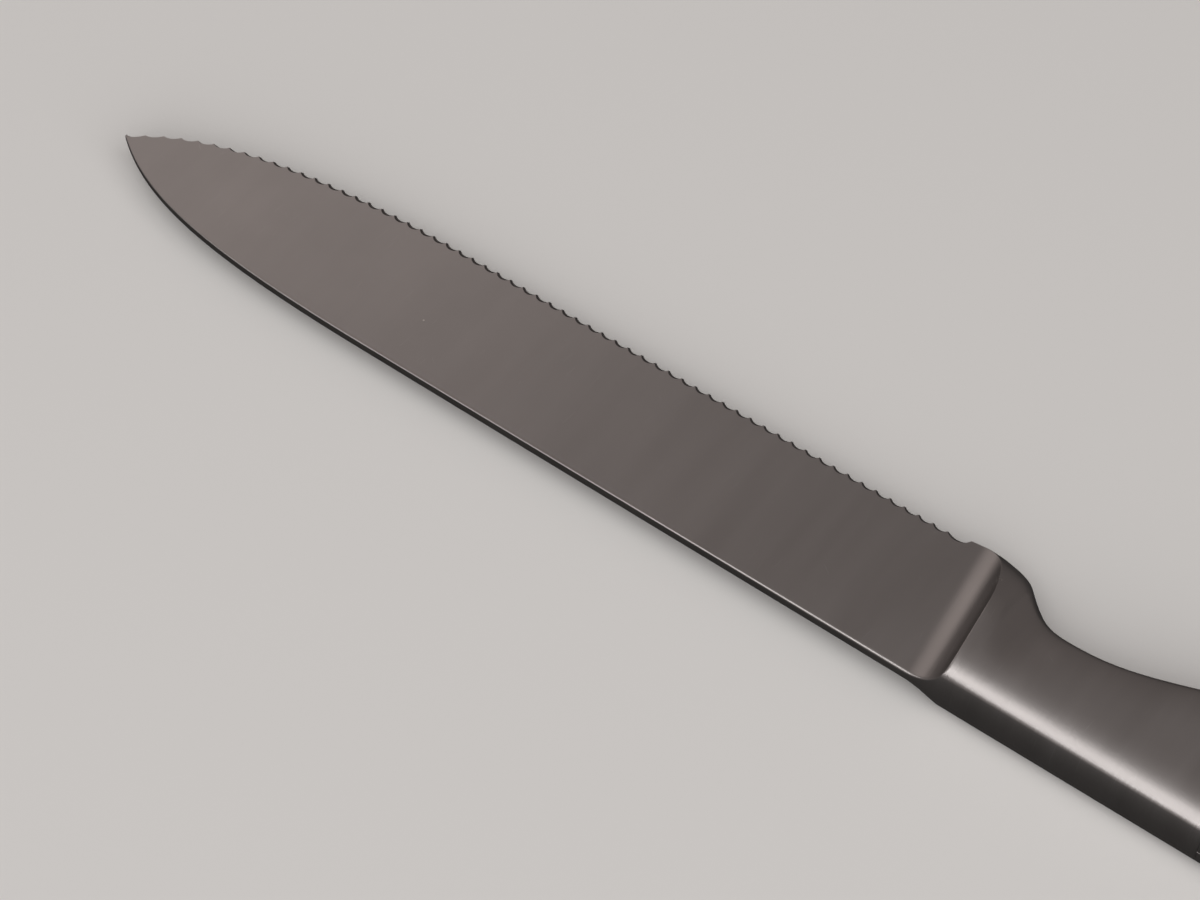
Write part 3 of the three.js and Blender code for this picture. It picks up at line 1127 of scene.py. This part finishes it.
class KNIFE_OT_press_shells(bpy.types.Operator):
    """Press the two hollow halves of the handle"""

    bl_idname = "knife.press_shells"
    bl_label = "Handle shells"

    def execute(self, context):
        handle = context.scene.knife_handle
        steel = context.scene.knife_steel
        material = steel_material("ground_handle_steel", steel, HANDLE_GRIND)
        wall = handle.wall / MM
        crease = handle.crease_break / MM
        chamfer = handle.seam_break / MM
        stations = np.concatenate(
            [[JOINT_X], handle_x(JOINT_X + chamfer, CAP_X - chamfer, SHELL_STEP), [CAP_X]]
        )
        x = np.repeat(stations[:, None], len(ROWS), 1)
        outer = upper_half(Bar(), x, crease, crease)
        inner = upper_half(Bar(inset=wall), x, crease, crease)
        for end in (0, -1):
            recessed = upper_half(Bar(inset=chamfer), x[[end]], crease, crease)
            outer[end] = recessed[0]
        middle_spine = outer[:, :1] + np.array([0, chamfer, 0])
        middle_edge = outer[:, -1:] - np.array([0, chamfer, 0])
        lifted = outer.copy()
        lifted[:, [0, -1], 2] = chamfer
        rings = np.concatenate([middle_spine, lifted, middle_edge, inner[:, ::-1]], 1)
        count, around = rings.shape[:2]
        faces = ring_faces(count, around)
        outside = lifted.shape[1] + 2
        for start, facing_tip in ((0, True), ((count - 1) * around, False)):
            strip = self.end_strip(start, outside, inner.shape[1])
            faces += strip if facing_tip else [face[::-1] for face in strip]
        for name, node, flip in (
            ("handle_upper", "handle_shell_upper", 1),
            ("handle_lower", "handle_shell_lower", -1),
        ):
            points = rings * np.array([1, 1, flip])
            turned = faces if flip > 0 else [face[::-1] for face in faces]
            piece = make_piece(
                name, points, turned, lambda a, b: self.sharp(a, b, around, outside, count)
            )
            piece.data.materials.append(material)
            hand_over(piece, node)
        return {"FINISHED"}

    def end_strip(self, start, outside, inside):
        """Closes the wall's thickness at one end of a shell."""
        around = outside + inside
        faces = [(start, start + 1, start + around - 1)]
        for m in range(inside - 1):
            faces.append((start + m + 1, start + m + 2, start + around - m - 2, start + around - m - 1))
        faces.append((start + outside - 2, start + outside - 1, start + outside))
        return faces

    def sharp(self, a, b, around, outside, count):
        """The shell's corners: along the seam, inside it and round both its ends."""
        ring_a, row_a = np.divmod(a, around)
        ring_b, row_b = np.divmod(b, around)
        seams = np.isin(row_a, [0, 1, outside - 2, outside - 1, outside, around - 1])
        ends = (ring_a == ring_b) & np.isin(ring_a, [0, 1, count - 2, count - 1])
        return ((row_a == row_b) & seams) | ends


class KNIFE_OT_form_butt_cap(bpy.types.Operator):
    """Form the rounded butt cap with its spigot"""

    bl_idname = "knife.form_butt_cap"
    bl_label = "Butt cap"

    def execute(self, context):
        handle = context.scene.knife_handle
        steel = context.scene.knife_steel
        crease = handle.crease_break / MM
        chamfer = handle.seam_break / MM
        inset = handle.wall / MM + FIT_GAP
        inner = Bar(inset=inset)
        spigot_x = np.full((2, len(ROWS)), [[CAP_X - SPIGOT], [CAP_X]])
        spigot = upper_half(inner, spigot_x, crease, crease)
        turn = np.linspace(0, 1, CAP_TURN_STEPS)[:-1]
        rounding = ROUNDING_START + ROUNDING_LENGTH * np.sin(turn * math.pi / 2)
        straight = handle_x(CAP_X + CAP_STEP, ROUNDING_START - CAP_STEP / 2, CAP_STEP)
        stations = np.concatenate([[CAP_X + chamfer], straight, rounding, [BUTT_X - BUTT_FLAT]])
        x = np.repeat(stations[:, None], len(ROWS), 1)
        first = upper_half(Bar(inset=chamfer), np.full((1, len(ROWS)), CAP_X), crease, crease)
        halves = np.concatenate([spigot, first, upper_half(Bar(), x, crease, crease)])
        points = whole_rings(halves)
        count, around = points.shape[:2]
        faces = ring_faces(count, around)
        faces += end_faces(0, halves.shape[1], True)
        faces += end_faces((count - 1) * around, halves.shape[1], False)

        def sharp(a, b):
            ring_a, ring_b = a // around, b // around
            return (ring_a == ring_b) & np.isin(ring_a, [0, 1, 2, 3])

        piece = make_piece("butt_rounded", points, faces, sharp)
        piece.data.materials.append(steel_material("ground_cap_steel", steel, HANDLE_GRIND))
        hand_over(piece, "butt_cap")
        return {"FINISHED"}


class KNIFE_OT_fill_handle(bpy.types.Operator):
    """Finish the cement and the balance weight inside the handle"""

    bl_idname = "knife.fill_handle"
    bl_label = "Handle filling"

    def execute(self, context):
        finishes = {
            "setting_cement": dull_material(
                "set_cement",
                light=(0.34, 0.31, 0.27),
                dark=(0.24, 0.22, 0.19),
                grain=900,
                roughness=0.95,
                metallic=0.0,
                bump_depth=0.0001,
            ),
            "balance_weight": dull_material(
                "cast_weight",
                light=(0.13, 0.125, 0.12),
                dark=(0.07, 0.066, 0.062),
                grain=1200,
                roughness=0.68,
                metallic=0.9,
                bump_depth=0.00008,
            ),
        }
        for node, material in finishes.items():
            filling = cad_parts[node]
            for slot in filling.material_slots:
                slot.link = "OBJECT"
                slot.material = material
        return {"FINISHED"}


# ---- Stage ----


def soft_box(name, towards, distance, size, power, aim, colour):
    """A rectangular area light that shines at its aim from a direction."""
    data = bpy.data.lights.new(name, "AREA")
    data.shape = "RECTANGLE"
    data.size, data.size_y = size
    data.energy = power
    data.color = colour
    light = bpy.data.objects.new(name, data)
    direction = Vector(towards).normalized()
    light.location = Vector(aim) + direction * distance
    light.rotation_mode = "QUATERNION"
    light.rotation_quaternion = direction.to_track_quat("Z", "Y")
    bpy.context.scene.collection.objects.link(light)


class KNIFE_OT_set_stage(bpy.types.Operator):
    """Lay the floor, hang the soft lights and place the camera"""

    bl_idname = "knife.set_stage"
    bl_label = "Stage"

    def execute(self, context):
        stage = context.scene.knife_stage
        self.lay_floor(stage)
        self.place_camera(context.scene)
        self.hang_lights(context.scene, stage)
        return {"FINISHED"}

    def lay_floor(self, stage):
        level = cad_box[0].z - FLOOR_CLEARANCE
        mesh = bpy.data.meshes.new("floor")
        quarters = ((-1, -1), (1, -1), (1, 1), (-1, 1))
        corners = [(x * FLOOR_REACH, y * FLOOR_REACH, level) for x, y in quarters]
        mesh.from_pydata(corners, [], [(0, 1, 2, 3)])
        floor = bpy.data.objects.new("floor", mesh)
        bpy.context.scene.collection.objects.link(floor)
        material, tree = new_material("pale_floor")
        # The floor is painted darker where the steel reflects it: a painted dark reflection
        mirrored = add_node(tree, "ShaderNodeLightPath").outputs["Is Glossy Ray"]
        painted_reflection_colour = [part * FLOOR_IN_STEEL for part in stage.floor_colour]
        colour = mixed(tree, mirrored, (*stage.floor_colour, 1), (*painted_reflection_colour, 1))
        add_surface(tree, {"Base Color": colour, "Roughness": 0.9, "Specular IOR Level": 0.1})
        mesh.materials.append(material)

    def place_camera(self, scene):
        level_part = math.cos(CAMERA_ELEVATION)
        back = Vector(
            (
                math.sin(CAMERA_AZIMUTH) * level_part,
                -math.cos(CAMERA_AZIMUTH) * level_part,
                math.sin(CAMERA_ELEVATION),
            )
        )
        data = bpy.data.cameras.new("camera")
        data.lens = CAMERA_LENS
        data.sensor_width = 36
        data.clip_start = 0.01
        data.clip_end = 10
        camera = bpy.data.objects.new("camera", data)
        camera.location = Vector(knife_place()) + Vector(CAMERA_AIM) * MM + back * CAMERA_DISTANCE
        camera.rotation_mode = "QUATERNION"
        camera.rotation_quaternion = back.to_track_quat("Z", "Y")
        scene.collection.objects.link(camera)
        scene.camera = camera

    def hang_lights(self, scene, stage):
        for name, towards, distance, size, power, aim, colour in LIGHTS:
            soft_box(name, towards, distance, size, getattr(stage, power), aim, colour)
        world = bpy.data.worlds.new("room")
        world.use_nodes = True
        tree = world.node_tree
        background = tree.nodes["Background"]
        background.inputs["Color"].default_value = ROOM_COLOUR
        seen = add_node(tree, "ShaderNodeLightPath").outputs["Is Camera Ray"]
        strength = ramp(tree, seen, 0.0, 1.0, stage.world_strength, stage.backdrop)
        tree.links.new(strength, background.inputs["Strength"])
        scene.world = world
        scene.view_settings.view_transform = "Standard"


class KNIFE_PT_panel(bpy.types.Panel):
    """Lists the knife's operators and settings"""

    bl_idname = "KNIFE_PT_panel"
    bl_label = "Table knife"
    bl_space_type = "VIEW_3D"
    bl_region_type = "UI"
    bl_category = "Knife"

    def draw(self, context):
        layout = self.layout
        for operator in OPERATORS:
            layout.operator(operator.bl_idname)
        for name, kind in SETTINGS.items():
            settings = getattr(context.scene, name)
            box = layout.box()
            for key in kind.__annotations__:
                box.prop(settings, key)


OPERATORS = (
    KNIFE_OT_set_stage,
    KNIFE_OT_forge_blade,
    KNIFE_OT_press_shells,
    KNIFE_OT_form_butt_cap,
    KNIFE_OT_fill_handle,
)
SETTINGS = {
    "knife_blade": KnifeBladeSettings,
    "knife_handle": KnifeHandleSettings,
    "knife_steel": KnifeSteelSettings,
    "knife_stage": KnifeStageSettings,
}


def register():
    for kind in (*SETTINGS.values(), *OPERATORS, KNIFE_PT_panel):
        bpy.utils.register_class(kind)
    for name, kind in SETTINGS.items():
        setattr(bpy.types.Scene, name, PointerProperty(type=kind))


def unregister():
    for name in SETTINGS:
        delattr(bpy.types.Scene, name)
    for kind in (KNIFE_PT_panel, *reversed(OPERATORS), *reversed(SETTINGS.values())):
        bpy.utils.unregister_class(kind)


def main():
    register()
    grinding_lines_group()
    handling_marks_group()
    bpy.ops.knife.set_stage()
    bpy.ops.knife.forge_blade()
    bpy.ops.knife.press_shells()
    bpy.ops.knife.form_butt_cap()
    bpy.ops.knife.fill_handle()


if __name__ == "__main__":
    main()
